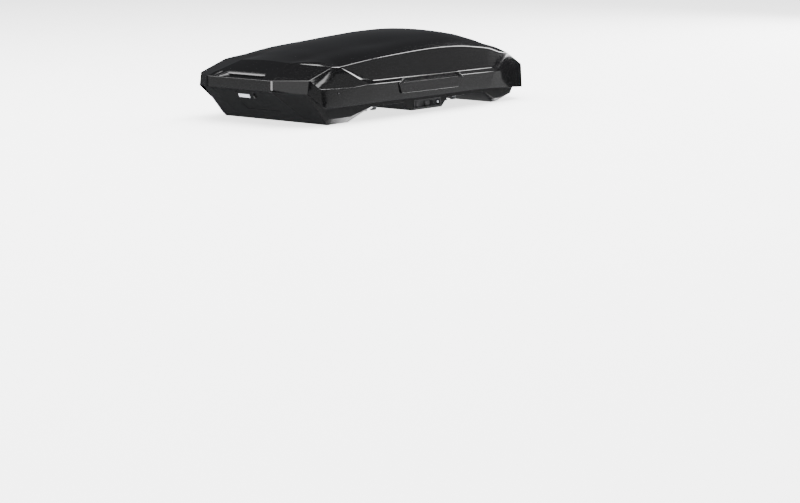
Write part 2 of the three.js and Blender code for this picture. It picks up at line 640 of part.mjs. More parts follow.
// ---------------------------------------------------------------- lid bows and lifters
const headZ = top(LIFTER_HEAD_DROP);
const lifters = [{ name: 'rear', x: rear(LIFTER_REAR) }, { name: 'front', x: nose(LIFTER_NOSE) }];

// A bow follows the lid's inner face from side to side, at the lower of the heights under its two edges.
function bow(x) {
  const reach = side(110);
  const steps = 10;
  const upper = [];
  for (let i = 0; i <= steps; i += 1) {
    const y = -reach + 2 * reach * i / steps;
    const height = Math.min(ceiling(x - BOW_WIDTH / 2, y), ceiling(x + BOW_WIDTH / 2, y), ceiling(x, y));
    upper.push([y, height - BOW_GAP]);
  }
  const lower = upper.map(([y, z]) => [y, z - BOW_DEPTH]).reverse();
  return alongX(outline([...upper, ...lower]), x - BOW_WIDTH / 2, x + BOW_WIDTH / 2);
}

function footBracket(x, floor) {
  const cheek = (from, to) => block([from, -14, floor], [to, 14, LIFTER_FOOT_Z + 12]);
  return cut(
    join([
      block([x - 26, -30, floor], [x + 26, 30, floor + 4]),
      cheek(x - 22, x - 16),
      cheek(x + 16, x + 22),
    ]),
    [bar('x', [0, LIFTER_FOOT_Z], x - 40, x + 40, LIFTER_PIN + RUNNING_GAP)],
  );
}

// The head's eye rides between the cheeks of this bracket and is free to move up and sideways in it.
function headBracket(x) {
  const roof = Math.min(ceiling(x - 30, 90), ceiling(x + 30, 90)) - BOW_GAP - BOW_DEPTH - FIT_GAP;
  const cheek = (from, to) => block([from, -20, headZ - 12], [to, 20, roof]);
  return join([
    block([x - 20, -24, roof - 3], [x + 20, 24, roof]),
    cheek(x - 20, x - 16),
    cheek(x + 16, x + 20),
  ]);
}

const sleeveRadius = TUBE_RADIUS - TUBE_WALL - RUNNING_GAP;
const stemRadius = sleeveRadius - TUBE_WALL - RUNNING_GAP;

lifters.forEach(({ name, x }) => {
  const bottom = LIFTER_FOOT_Z;
  const outer = cut(
    join([
      bar('z', [x, 0], bottom + 6, headZ - 22, TUBE_RADIUS),
      bar('x', [0, bottom], x - 13, x + 13, EYE_RADIUS),
    ]),
    [
      bar('z', [x, 0], bottom + 13, headZ, sleeveRadius + RUNNING_GAP),
      bar('x', [0, bottom], x - 40, x + 40, LIFTER_PIN + RUNNING_GAP),
    ],
  );
  const middle = cut(bar('z', [x, 0], bottom + 15, headZ - 14, sleeveRadius),
    [bar('z', [x, 0], bottom + 17, headZ, stemRadius + RUNNING_GAP)]);
  const stem = join([
    bar('z', [x, 0], bottom + 19, headZ, stemRadius),
    bar('x', [0, headZ], x - 12, x + 12, EYE_RADIUS - 1),
  ]);
  addPiece(`${name}_lid_bow`, bow(x), satinBlack);
  addPiece(`${name}_lifter_foot`, footBracket(x, BASE_WALL + FIT_GAP), steel);
  addPiece(`${name}_lifter_head_bracket`, headBracket(x), steel);
  addPiece(`${name}_lifter_pin`, bar('x', [0, bottom], x - 28, x + 28, LIFTER_PIN), steel);
  addPiece(`${name}_lifter_tube`, outer, darkPlastic);
  addPiece(`${name}_lifter_sleeve`, middle, steel);
  addPiece(`${name}_lifter_stem`, stem, chrome);
});

// ---------------------------------------------------------------- roof bar clamps
const carriageLow = railHigh + FIT_GAP;
const pivotZ = carriageLow + 12;
const coverZ = pivotZ + 8;
const pivotReach = BAR_GAP / 2 + JAW_SHANK / 2;

function carriage(barX) {
  const half = pivotReach + 14;
  const cheek = (y) => block([barX - half, y - 2, carriageLow], [barX + half, y + 2, coverZ]);
  const gapY = JAW_WIDTH / 2 + 3;
  return cut(
    join([
      block([barX - half, CLAMP_Y - 28, carriageLow], [barX + half, CLAMP_Y + 28, carriageLow + PLATE]),
      cheek(CLAMP_Y - gapY - 2), cheek(CLAMP_Y + gapY + 2),
      block([barX - half, CLAMP_Y - gapY - 4, coverZ], [barX + half, CLAMP_Y + gapY + 4, coverZ + PLATE]),
    ]),
    [-1, 1].flatMap((end) => [
      bar('y', [barX + end * pivotReach, pivotZ], CLAMP_Y - 40, CLAMP_Y + 40, JAW_PIN_RADIUS + RUNNING_GAP),
      block([barX + end * pivotReach - 13, CLAMP_Y - gapY, carriageLow - 5],
        [barX + end * pivotReach + 13, CLAMP_Y + gapY, carriageLow + 5]),
    ]),
  );
}

// A jaw hangs from its pivot, passes the floor and turns in under the roof bar.
function jaw(barX, end) {
  const hook = SEAT_Z - BAR_HEIGHT - 2;
  const inner = BAR_GAP / 2;
  const profile = [
    [inner, pivotZ], [inner, hook + 4], [inner - 6, hook], [inner - 20, hook], [inner - 22, hook - 7],
    [inner + 2, hook - 7], [inner + JAW_SHANK, hook + 2], [inner + JAW_SHANK, pivotZ],
  ].map(([x, z]) => [barX + end * x, z]);
  return join([
    alongY(outline(end > 0 ? profile.reverse() : profile), CLAMP_Y - JAW_WIDTH / 2, CLAMP_Y + JAW_WIDTH / 2),
    bar('y', [barX + end * pivotReach, pivotZ], CLAMP_Y - JAW_WIDTH / 2 - 1, CLAMP_Y + JAW_WIDTH / 2 + 1, 7),
    bar('y', [barX + end * pivotReach, pivotZ], CLAMP_Y - 18, CLAMP_Y + 18, JAW_PIN_RADIUS),
  ]);
}

function clampKnob(barX) {
  const points = [];
  for (let i = 0; i < 24; i += 1) {
    const angle = i * Math.PI / 12;
    const radius = KNOB_RADIUS - (i % 4 === 0 ? 4 : 0);
    points.push([radius * Math.cos(angle), radius * Math.sin(angle)]);
  }
  const geometry = new THREE.ExtrudeGeometry(outline(points), { depth: 14, bevelEnabled: false });
  return geometry.translate(barX, CLAMP_Y, coverZ + PLATE + FIT_GAP);
}

[{ end: 'rear', barX: rearBar }, { end: 'front', barX: frontBar }].forEach(({ end, barX }) => {
  sides.forEach(({ name, place }) => {
    const prefix = `${end}_${name}_clamp`;
    addPiece(`${prefix}_carriage`, place(carriage(barX)), darkPlastic);
    addPiece(`${prefix}_knob`, place(toSolid(clampKnob(barX))), gripBlack);
    addPiece(`${prefix}_rear_jaw`, place(jaw(barX, -1)), steel);
    addPiece(`${prefix}_front_jaw`, place(jaw(barX, 1)), steel);
  });
});

export default object;
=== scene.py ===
"""Roof cargo box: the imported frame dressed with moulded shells, fittings and materials."""
import json
import math

import bmesh
import bpy
from mathutils import Matrix, Vector


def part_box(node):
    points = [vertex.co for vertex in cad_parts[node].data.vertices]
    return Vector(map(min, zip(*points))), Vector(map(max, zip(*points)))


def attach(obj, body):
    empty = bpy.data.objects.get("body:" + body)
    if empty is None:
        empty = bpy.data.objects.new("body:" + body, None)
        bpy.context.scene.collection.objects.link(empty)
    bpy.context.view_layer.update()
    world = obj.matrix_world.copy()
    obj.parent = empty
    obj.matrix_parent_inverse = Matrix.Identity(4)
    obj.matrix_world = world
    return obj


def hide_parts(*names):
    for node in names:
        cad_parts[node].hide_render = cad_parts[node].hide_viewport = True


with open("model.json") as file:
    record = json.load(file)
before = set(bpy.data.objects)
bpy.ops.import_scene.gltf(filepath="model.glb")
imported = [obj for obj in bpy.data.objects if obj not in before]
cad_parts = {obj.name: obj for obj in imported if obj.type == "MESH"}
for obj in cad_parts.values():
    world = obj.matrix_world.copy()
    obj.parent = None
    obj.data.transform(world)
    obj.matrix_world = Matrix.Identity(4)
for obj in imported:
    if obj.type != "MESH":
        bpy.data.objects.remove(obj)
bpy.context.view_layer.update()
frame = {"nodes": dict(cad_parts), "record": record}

scene = bpy.context.scene
MM = 0.001

# ---------------------------------------------------------------- camera
CAMERA = Vector((-8.603, -6.690, 1.193))
FORWARD = Vector((0.7860, 0.5923, -0.1770)).normalized()
RIGHT = Vector((0.6031, -0.7977, 0.0084))

camera_up = RIGHT.cross(FORWARD).normalized()
camera_right = FORWARD.cross(camera_up)
turn = Matrix((camera_right, camera_up, -FORWARD)).transposed().to_4x4()
camera_data = bpy.data.cameras.new("camera")
camera_data.lens = 93.6
camera_data.sensor_width = 36
camera_data.clip_end = 200
camera = bpy.data.objects.new("camera", camera_data)
scene.collection.objects.link(camera)
camera.matrix_world = Matrix.Translation(CAMERA) @ turn
scene.camera = camera

# ---------------------------------------------------------------- driving places
# Places on the box are in millimetres. Distances run from the tail, the nose, the widest line and the top.
WALL = 4


def box_mm(node):
    low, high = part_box(node)
    return Vector(low) / MM, Vector(high) / MM


def middle(node):
    low, high = box_mm(node)
    return (low + high) / 2


lid_low, lid_high = box_mm("lid_shell")
RIM_Z = lid_low.z + 26
CREASE_Z = RIM_Z + 94


def rear(d):
    return lid_low.x + d


def nose(d):
    return lid_high.x - d


def side(inset):
    return lid_high.y - inset


def top(drop):
    return lid_high.z - drop


def lerp(a, b, t):
    return a + (b - a) * t


# ---------------------------------------------------------------- materials
PLASTIC_IOR = 1.46


def node_material(name):
    material = bpy.data.materials.new(name)
    material.use_nodes = True
    nodes = material.node_tree.nodes
    nodes.clear()
    output = nodes.new("ShaderNodeOutputMaterial")
    shader = nodes.new("ShaderNodeBsdfPrincipled")
    material.node_tree.links.new(shader.outputs[0], output.inputs[0])
    return material, shader


def noise(material, scale, detail=4.0, roughness=0.5, stretch=(1, 1, 1)):
    nodes, links = material.node_tree.nodes, material.node_tree.links
    place = nodes.new("ShaderNodeTexCoord")
    mapping = nodes.new("ShaderNodeMapping")
    mapping.inputs["Scale"].default_value = stretch
    texture = nodes.new("ShaderNodeTexNoise")
    texture.inputs["Scale"].default_value = scale
    texture.inputs["Detail"].default_value = detail
    texture.inputs["Roughness"].default_value = roughness
    links.new(place.outputs["Object"], mapping.inputs[0])
    links.new(mapping.outputs[0], texture.inputs["Vector"])
    return texture.outputs["Fac"]


def spread(material, source, low, high, from_low=0.3, from_high=0.7):
    span = material.node_tree.nodes.new("ShaderNodeMapRange")
    span.inputs["From Min"].default_value = from_low
    span.inputs["From Max"].default_value = from_high
    span.inputs["To Min"].default_value = low
    span.inputs["To Max"].default_value = high
    material.node_tree.links.new(source, span.inputs["Value"])
    return span.outputs[0]


def blend_colours(material, source, first, second):
    ramp = material.node_tree.nodes.new("ShaderNodeValToRGB")
    ramp.color_ramp.elements[0].position = 0.35
    ramp.color_ramp.elements[1].position = 0.65
    ramp.color_ramp.elements[0].color = (*first, 1)
    ramp.color_ramp.elements[1].color = (*second, 1)
    material.node_tree.links.new(source, ramp.inputs[0])
    return ramp.outputs[0]


def bump(material, shader, source, distance):
    nodes, links = material.node_tree.nodes, material.node_tree.links
    node = nodes.new("ShaderNodeBump")
    node.inputs["Strength"].default_value = 1.0
    node.inputs["Distance"].default_value = distance
    links.new(source, node.inputs["Height"])
    links.new(node.outputs[0], shader.inputs["Normal"])


def plastic(name, colours, rough, grain_scale, grain):
    """Colours and roughness are pairs that a fine noise runs between. The grain's depth is in metres."""
    material, shader = node_material(name)
    links = material.node_tree.links
    links.new(blend_colours(material, noise(material, 90, 5), *colours), shader.inputs["Base Color"])
    links.new(spread(material, noise(material, 160, 6, 0.6), *rough), shader.inputs["Roughness"])
    shader.inputs["IOR"].default_value = PLASTIC_IOR
    bump(material, shader, noise(material, grain_scale, 3, 0.6), grain)
    return material


def metal(name, colours, rough, stretch, grain):
    material, shader = node_material(name)
    links = material.node_tree.links
    tone = blend_colours(material, noise(material, 60, 5, 0.5, stretch), *colours)
    links.new(tone, shader.inputs["Base Color"])
    links.new(spread(material, noise(material, 180, 6, 0.6, stretch), *rough), shader.inputs["Roughness"])
    shader.inputs["Metallic"].default_value = 1.0
    bump(material, shader, noise(material, 900, 3, 0.6, stretch), grain)
    return material


LOOKS = {
    "lid_gloss": plastic(
        "lid_gloss", ((0.0016, 0.0016, 0.0017), (0.0024, 0.0024, 0.0026)), (0.08, 0.13), 240, 0.00001),
    "base_satin": plastic(
        "base_satin", ((0.0042, 0.0043, 0.0045), (0.0062, 0.0063, 0.0066)), (0.34, 0.46), 1400, 0.00008),
    "grip_plastic": plastic(
        "grip_plastic", ((0.0035, 0.0035, 0.0037), (0.005, 0.005, 0.0053)), (0.24, 0.36), 1100, 0.00005),
    "dark_plastic": plastic(
        "dark_plastic", ((0.018, 0.0185, 0.019), (0.028, 0.0285, 0.03)), (0.42, 0.6), 1500, 0.0001),
    "pale_grey": plastic(
        "pale_grey", ((0.36, 0.37, 0.4), (0.42, 0.43, 0.46)), (0.35, 0.5), 1600, 0.00006),
    "steel": metal("steel", ((0.5, 0.51, 0.53), (0.62, 0.63, 0.65)), (0.25, 0.42), (1, 8, 8), 0.00003),
    "chrome": metal("chrome", ((0.78, 0.79, 0.81), (0.86, 0.87, 0.89)), (0.07, 0.14), (1, 1, 1), 0.000005),
}

slot_of = {part["node"]: part["material_slot"] for part in frame["record"]["subparts"]}
for node, obj in frame["nodes"].items():
    obj.data.materials.clear()
    obj.data.materials.append(LOOKS[slot_of[node]])


# ---------------------------------------------------------------- mesh helpers
def mesh_object(name, mesh):
    """A linked object out of a bmesh, which is freed."""
    data = bpy.data.meshes.new(name)
    mesh.to_mesh(data)
    mesh.free()
    obj = bpy.data.objects.new(name, data)
    scene.collection.objects.link(obj)
    return obj


class Skin:
    """A mesh built face by face, in which equal points are one vertex and edges may ask for a bevel."""

    def __init__(self):
        self.mesh = bmesh.new()
        self.points = {}
        self.asked = {}

    def vertex(self, p):
        key = tuple(round(c * 20) for c in p)
        if key not in self.points:
            self.points[key] = self.mesh.verts.new(Vector(p) * MM)
        return self.points[key]

    def face(self, *corners):
        ring = []
        for p in corners:
            v = self.vertex(p)
            if v not in ring:
                ring.append(v)
        if len(ring) > 2 and self.mesh.faces.get(ring) is None:
            self.mesh.faces.new(ring)

    def line(self, points, width):
        """The edges along these points get a bevel this wide, in millimetres."""
        for a, b in zip(points, points[1:]):
            va, vb = self.vertex(a), self.vertex(b)
            if va is not vb and width > 0:
                self.asked[(va, vb)] = width

    def finish(self, name, slot, body, wall=0.0, replaces=()):
        widest = max(self.asked.values(), default=0)
        if widest:
            layer = self.mesh.edges.layers.float.new("bevel_weight_edge")
            for pair, width in self.asked.items():
                edge = self.mesh.edges.get(pair)
                if edge is not None:
                    edge[layer] = width / widest
        bmesh.ops.recalc_face_normals(self.mesh, faces=self.mesh.faces)
        obj = mesh_object(name, self.mesh)
        if widest:
            add_bevel(obj, widest * MM, weighted=True)
        if wall:
            solidify = obj.modifiers.new("wall", "SOLIDIFY")
            solidify.thickness = wall * MM
            solidify.offset = -1
        return dress(obj, slot, body, replaces)


def add_bevel(obj, width, segments=3, weighted=False, angle=30):
    bevel = obj.modifiers.new("bevel", "BEVEL")
    bevel.width = width
    bevel.segments = segments
    bevel.limit_method = "WEIGHT" if weighted else "ANGLE"
    bevel.angle_limit = math.radians(angle)
    bevel.miter_outer = "MITER_ARC"
    bevel.harden_normals = False


def dress(obj, slot, body, replaces=()):
    for polygon in obj.data.polygons:
        polygon.use_smooth = True
    normals = obj.modifiers.new("normals", "WEIGHTED_NORMAL")
    normals.weight = 80
    normals.keep_sharp = True
    obj.data.materials.append(LOOKS[slot])
    if replaces:
        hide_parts(*replaces)
    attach(obj, body)
    return obj


def strand(knots, sharp, steps):
    """Points along a row of knots: cubic pieces that break direction at the sharp knots."""
    knots = [Vector(k) for k in knots]
    spans = [max((b - a).length, 1e-6) for a, b in zip(knots, knots[1:])]
    slopes = [(b - a) / h for a, b, h in zip(knots, knots[1:], spans)]
    tangents = []
    for i in range(len(knots)):
        if i in (0, len(knots) - 1) or i in sharp:
            tangents.append(None)
        else:
            h0, h1 = spans[i - 1], spans[i]
            tangents.append((slopes[i - 1] * h1 + slopes[i] * h0) / (h0 + h1))
    out = [knots[0]]
    for i, h in enumerate(spans):
        a, b = knots[i], knots[i + 1]
        m0 = tangents[i] if tangents[i] is not None else slopes[i]
        m1 = tangents[i + 1] if tangents[i + 1] is not None else slopes[i]
        for j in range(1, steps[i] + 1):
            t = j / steps[i]
            out.append(a * (2 * t**3 - 3 * t**2 + 1) + m0 * h * (t**3 - 2 * t**2 + t)
                       + b * (3 * t**2 - 2 * t**3) + m1 * h * (t**3 - t**2))
    return out


def mirrored(p):
    return Vector((p[0], -p[1], p[2]))


def flipped(points):
    return [mirrored(p) for p in points]


def halves(skin, *corners):
    """A face and its twin on the other side."""
    skin.face(*corners)
    skin.face(*flipped(reversed(corners)))


def twin_lines(skin, points, width):
    skin.line(points, width)
    skin.line(flipped(points), width)


def refined(sections, sharp, steps):
    """Columns of points between sections, each row of them a strand."""
    rows = [strand([section[r] for section in sections], sharp[r], steps) for r in range(len(sections[0]))]
    return [list(column) for column in zip(*rows)]


def walls(skin, columns, open_cells=()):
    """Both side walls of a skin, with some cells left open."""
    for k, (a, b) in enumerate(zip(columns, columns[1:])):
        for r in range(len(a) - 1):
            if (k, r) not in open_cells:
                halves(skin, a[r], b[r], b[r + 1], a[r + 1])


def cap_grid(column, crest, shares):
    """Points across one end of a skin. The last row follows the column from its crest to the centre line."""
    crown = column[crest:]
    height = column[crest].z - column[2].z
    grid = []
    for k in range(crest):
        lift = max(0.0, (column[k].z - column[2].z) / height) if height > 0 else 0.0
        grid.append([Vector((column[k].x + (crown[j].x - crown[0].x) * lift, column[k].y * share,
                             column[k].z + (crown[j].z - crown[0].z) * lift))
                     for j, share in enumerate(shares[k])])
    return grid + [crown]


def cap(skin, grid, open_cells=()):
    for k, (a, b) in enumerate(zip(grid, grid[1:])):
        for j in range(len(a) - 1):
            if (k, j) not in open_cells:
                halves(skin, a[j], a[j + 1], b[j + 1], b[j])


def across(points):
    """A row from the right side to the left, out of its left half."""
    return flipped(points) + list(reversed(points))[1:]


def pocket(skin, grid, inward, depth, draft, width):
    """A recess with sloping walls in place of a grid of faces."""
    centre = (grid[0][0] + grid[0][-1] + grid[-1][0] + grid[-1][-1]) / 4
    floor = [[p.lerp(centre, draft) + inward * depth for p in line] for line in grid]
    for a, b in zip(floor, floor[1:]):
        for j in range(len(a) - 1):
            skin.face(a[j], a[j + 1], b[j + 1], b[j])
    loops = []
    for net in (grid, floor):
        loops.append(net[0] + [line[-1] for line in net[1:]] + list(reversed(net[-1]))[1:]
                     + [line[0] for line in reversed(net[:-1])])
    for k in range(len(loops[0]) - 1):
        skin.face(loops[0][k], loops[0][k + 1], loops[1][k + 1], loops[1][k])
    skin.line(loops[0], width)
    return floor


# ---------------------------------------------------------------- lid
CREST = (0, 0.16, 0.34, 0.56, 0.78, 1)


def lid_section(rim, crease, shoulder, band, crown, ledge=None):
    """One cross-section of the lid from its rim to the centre line."""
    rim, crease, shoulder, band, crown = (Vector(p) for p in (rim, crease, shoulder, band, crown))
    ledge = Vector(ledge) if ledge else crease.lerp(shoulder, 0.15)
    bulge = shoulder.lerp(band, 0.45)
    bulge.z += 9 * abs(shoulder.y - band.y) / (side(48) - 200)
    return [rim, crease, ledge, shoulder, bulge, band, crown]


def panel(x, drop, inset):
    """Crease and ledge of the sunken side panel."""
    return {"crease": (x, side(0), CREASE_Z + drop), "ledge": (x, side(inset + 5), CREASE_Z + drop / 2 + 20)}


def rim_side(x):
    return x, side(36), RIM_Z


tail_edge = lid_section((rear(0), 208, RIM_Z + 88), (rear(0), 208, CREASE_Z + 47), (rear(190), 148, top(105)),
                        (rear(190), 148, top(105)), (rear(190), 0, top(99)))
tail_edge[2] = tail_edge[1].lerp(tail_edge[3], 0.32)
LID = [
    tail_edge,
    lid_section((rear(101), side(58), RIM_Z + 77), (rear(112), side(58), CREASE_Z + 48),
                (rear(288), side(58), top(119)), (rear(288), 156, top(97)), (rear(288), 0, top(86))),
    lid_section((rear(188), side(48), RIM_Z + 18), (rear(160), side(23), CREASE_Z + 4),
                (rear(300), side(57), top(120)), (rear(320), 158, top(92)), (rear(330), 0, top(80))),
    lid_section(rim_side(rear(227)), (rear(380), side(8), CREASE_Z - 2),
                (rear(324), side(56), top(121)), (rear(370), 161, top(83)), (rear(390), 0, top(71))),
    lid_section(rim_side(rear(492)), (rear(492), side(3), CREASE_Z + 4),
                (rear(338), side(56), top(122)), (rear(420), 165, top(76)), (rear(440), 0, top(64))),
    lid_section(rim_side(rear(540)), shoulder=(rear(350), side(54), top(121)), band=(rear(450), 168, top(72)),
                crown=(rear(470), 0, top(60)), **panel(rear(557), 4, 11)),
    lid_section(rim_side(rear(656)), shoulder=(rear(533), side(48), top(103)), band=(rear(560), 180, top(58)),
                crown=(rear(570), 0, top(45)), **panel(rear(656), 3, 11)),
    lid_section(rim_side(-200), shoulder=(-220, side(48), top(85)), band=(-220, 196, top(42)),
                crown=(-220, 0, top(18)), **panel(-200, 2, 10)),
    lid_section(rim_side(0), shoulder=(0, side(48), top(76)), band=(0, 200, top(25)),
                crown=(0, 0, top(3)), **panel(0, 0, 10)),
    lid_section(rim_side(174), shoulder=(174, side(48), top(74)), band=(174, 200, top(18)),
                crown=(174, 0, top(0)), **panel(174, -1, 10)),
    lid_section(rim_side(340), shoulder=(340, side(48), top(80)), band=(340, 200, top(17)),
                crown=(340, 0, top(5)), **panel(340, -2, 10)),
    lid_section(rim_side(nose(592)), shoulder=(nose(568), side(50), top(92)), band=(nose(586), 198, top(28)),
                crown=(nose(586), 0, top(18)), **panel(nose(586), -3, 10)),
    lid_section((nose(540), side(36), RIM_Z - 1), shoulder=(nose(440), side(52), top(108)),
                band=(nose(490), 196, top(48)), crown=(nose(480), 0, top(39)), **panel(nose(520), -3, 9)),
    lid_section((nose(510), side(36), RIM_Z - 2), shoulder=(nose(342), side(58), top(133)),
                band=(nose(420), 192, top(68)), crown=(nose(400), 0, top(58)), **panel(nose(487), -3, 8)),
    lid_section((nose(467), side(36), RIM_Z - 3), (nose(467), side(0), CREASE_Z - 4),
                (nose(272), side(58), top(140)), (nose(330), 186, top(91)), (nose(310), 0, top(80))),
    lid_section((nose(109), side(68), RIM_Z - 23), (nose(120), side(68), CREASE_Z - 14),
                (nose(125), side(68), CREASE_Z + 11), (nose(160), 192, top(155)), (nose(141), 0, top(134)),
                (nose(122), side(68), CREASE_Z - 1)),
    lid_section((nose(46), 200, RIM_Z - 25), (nose(50), 200, CREASE_Z - 14), (nose(52), 200, CREASE_Z + 10),
                (nose(52), 200, CREASE_Z + 10), (nose(60), 0, top(183)), (nose(51), 200, CREASE_Z - 2)),
    lid_section((nose(0), 72, RIM_Z - 26), (nose(3), 72, CREASE_Z - 14), (nose(6), 72, CREASE_Z + 9),
                (nose(6), 72, CREASE_Z + 9), (nose(9), 0, CREASE_Z + 13), (nose(5), 72, CREASE_Z - 3)),
]
LID_STEPS = [3, 2, 2, 2, 2, 3, 6, 4, 4, 4, 4, 3, 1, 2, 6, 3, 2]
CORNERS = {0, 1, 15, 16, 17}
LID_SHARP = [CORNERS | {2, 3}, CORNERS | {2, 4, 5, 13, 14}, CORNERS | {2, 4, 5, 13, 14},
             CORNERS | {5, 14}, CORNERS | {14}, {0, 16, 17}, {0, 16, 17}]
RIM, CREASE, LEDGE, SHOULDER, BAND = 0, 2, 5, 9, 15
CHAMFER = 4


def lid_column(points):
    rim, crease, ledge, shoulder, bulge, band, crown = points
    strip = min(1, max(0, crease.y - ledge.y - 10) / 5) * CHAMFER
    low_lip = crease.lerp(ledge, 0.2) + Vector((0, -strip * 0.25, -strip * 0.35))
    high_lip = crease.lerp(ledge, 0.8) + Vector((0, strip * 0.25, strip * 0.35))
    column = [rim, rim.lerp(crease, 0.5), crease, low_lip, high_lip, ledge]
    column += [ledge.lerp(shoulder, t) for t in (0.25, 0.5, 0.75)] + [shoulder]
    column += strand([shoulder, bulge, band], (), [3, 3])[1:]
    for t in CREST[1:]:
        p = band.lerp(crown, t)
        p.z = lerp(band.z, crown.z, 1 - (1 - t) ** 2)
        column.append(p)
    return column


lid_columns = [lid_column(points) for points in refined(LID, LID_SHARP, LID_STEPS)]


def at(section):
    return sum(LID_STEPS[:section])


# Facets frame the side panel. The rear one has a chamfer along its foot and rises towards the panel, and
# the front one falls away from it. A cove leads from each down to the panel.
FRAME_RISE = 4.5
COVE_DEPTH = FRAME_RISE * 0.4
FOOT_CHAMFER = Vector((0, -3.6, 2.2))


def proud(column, share):
    """Lift a facet's rows, most in its middle."""
    for row in range(CREASE + 2, SHOULDER):
        height = min(1, (SHOULDER - row) / 2)
        column[row] += Vector((0, FRAME_RISE, FRAME_RISE * 0.5)) * height * share


for k in range(at(1) + 1, at(4) + 1):
    column = lid_columns[k]
    column[CREASE + 1] = column[CREASE] + FOOT_CHAMFER
    for row in range(CREASE + 2, SHOULDER):
        column[row] = column[CREASE + 1].lerp(column[SHOULDER], (row - CREASE - 1) / (SHOULDER - CREASE - 1))
    proud(column, (k - at(1)) / (at(4) - at(1)))
for k, share in enumerate((1, 0.5, 0.15)):
    proud(lid_columns[at(14) + k], share)
for edge, cove, foot in ((at(4), at(4) + 1, at(5)), (at(14), at(14) - 1, at(13))):
    for row in range(CREASE + 2, SHOULDER):
        drop = Vector((0, COVE_DEPTH, 0)) * min(1, (SHOULDER - row) / 2)
        lid_columns[cove][row] = lid_columns[edge][row].lerp(lid_columns[foot][row], 0.3) - drop

lid_skin = Skin()
walls(lid_skin, lid_columns)


def lid_row(row, first, last, width):
    twin_lines(lid_skin, [column[row] for column in lid_columns[at(first):at(last) + 1]], width)


def lid_post(section, low, high, width):
    twin_lines(lid_skin, lid_columns[at(section)][low:high + 1], width)


lid_row(SHOULDER, 0, 1, 0.8)
lid_row(SHOULDER, 1, 14, 6.5)
lid_row(SHOULDER, 14, 15, 3)
lid_row(SHOULDER, 15, 17, 2.5)
lid_row(CREASE, 0, 1, 3)
lid_row(CREASE, 1, 3, 5)
lid_row(CREASE, 3, 4, 4)
lid_row(CREASE, 4, 5, 3)
lid_row(CREASE, 5, 13, 2.5)
lid_row(CREASE, 13, 14, 2.5)
lid_row(LEDGE, 5, 13, 2.5)
lid_post(0, RIM, CREASE, 16)
lid_post(0, CREASE, BAND, 3)
lid_post(1, RIM, CREASE, 4)
lid_post(1, CREASE, SHOULDER, 5)
lid_post(4, CREASE, SHOULDER, 3)
lid_post(5, CREASE, SHOULDER, 2.5)
lid_post(13, CREASE, SHOULDER, 2.5)
lid_post(14, CREASE, SHOULDER, 5)
lid_post(15, RIM, SHOULDER, 3)

# Tail face with its grip recess. The recess ends at these shares of the tail's half width.
GRIP_EDGE = 0.72
GRIP_TOP_EDGE = 0.635


def spread_shares(edge):
    return [1, (1 + edge) / 2, edge, edge * 2 / 3, edge / 3, 0]


grip_edges = [GRIP_EDGE] * 3 + [lerp(GRIP_EDGE, GRIP_TOP_EDGE, t) for t in (0.2, 0.8, 1)]
tail_shares = [spread_shares(edge) for edge in (*grip_edges, 0.64, 0.65, 0.655)]
tail = cap_grid(lid_columns[0][:SHOULDER] + lid_columns[0][BAND:], SHOULDER, tail_shares)
cap(lid_skin, tail, {(r, j) for r in (CREASE, CREASE + 1, CREASE + 2) for j in range(1, 5)})
low_edge, high_edge = tail[CREASE][2], tail[LEDGE][2]
deep = high_edge.x - low_edge.x
floor_rows, edge_row = [tail[CREASE][2:]], [low_edge]
for run, z in ((5, 0.5), (6.5, -9), (17, -9), (20, 0), (deep - 4, 4)):
    on_edge = low_edge.lerp(high_edge, run / deep)
    edge_row.append(on_edge)
    shares = (1, 2 / 3, 1 / 3, 0)
    floor_rows.append([Vector((on_edge.x, (on_edge.y - 3) * share, low_edge.z + z)) for share in shares])
edge_row.append(high_edge)
floor_rows.append(tail[LEDGE][2:])
for a, b in zip(floor_rows, floor_rows[1:]):
    for j in range(3):
        halves(lid_skin, a[j], a[j + 1], b[j + 1], b[j])
for k in range(len(edge_row) - 1):
    halves(lid_skin, edge_row[k], floor_rows[k][0], floor_rows[k + 1][0], edge_row[k + 1])
halves(lid_skin, tail[CREASE][1], *edge_row, tail[LEDGE][1], tail[LEDGE - 1][1], tail[LEDGE - 2][1])
lid_skin.line(across(tail[CREASE]), 4)
lid_skin.line(across(tail[LEDGE][2:]), 2)
twin_lines(lid_skin, edge_row, 1.2)
lid_skin.line(across(tail[SHOULDER]), 4)

tip_column = lid_columns[-1]
tip = cap_grid(tip_column[:SHOULDER] + tip_column[BAND:], SHOULDER, [[1 - t for t in CREST]] * SHOULDER)
cap(lid_skin, tip)
lid_skin.line(across(tip[SHOULDER]), 2.5)
lid_skin.finish("lid", "lid_gloss", "lid", WALL, ["lid_shell"])

# ---------------------------------------------------------------- base
rear_bar = middle("rear_left_clamp_carriage")
front_bar = middle("front_left_clamp_carriage")
lock_low, lock_high = box_mm("left_lock_panel")
LOCK_FLANGE = 5
LOCK_EDGE = LOCK_FLANGE - 0.5
SEAT_Z = 65
SKIRT_Z = 18
TAIL_SILL_Z, SIDE_SILL_Z, NOSE_SILL_Z = 24, 30, 32
NOSE_BELLY_Z = 24
SLOT_NEAR, SLOT_FAR = 13, 95
lock_rear, lock_front = lock_low.x + LOCK_EDGE, lock_high.x - LOCK_EDGE


def base_column(x, sill, belly, taper=0):
    return [Vector(p) for p in ((x, side(57 + taper), 96), (x, side(63 + taper), RIM_Z - 4),
                                (x, side(63 + taper), sill), (x, side(83 + taper), belly), (x, 0, belly))]


def seat(bar, behind, ahead):
    places = (-behind, -SLOT_FAR, -SLOT_NEAR, SLOT_NEAR, SLOT_FAR, ahead)
    return [base_column(bar.x + d, SEAT_Z, SEAT_Z) for d in places]


def base_section(*points):
    return [Vector(p) for p in points]


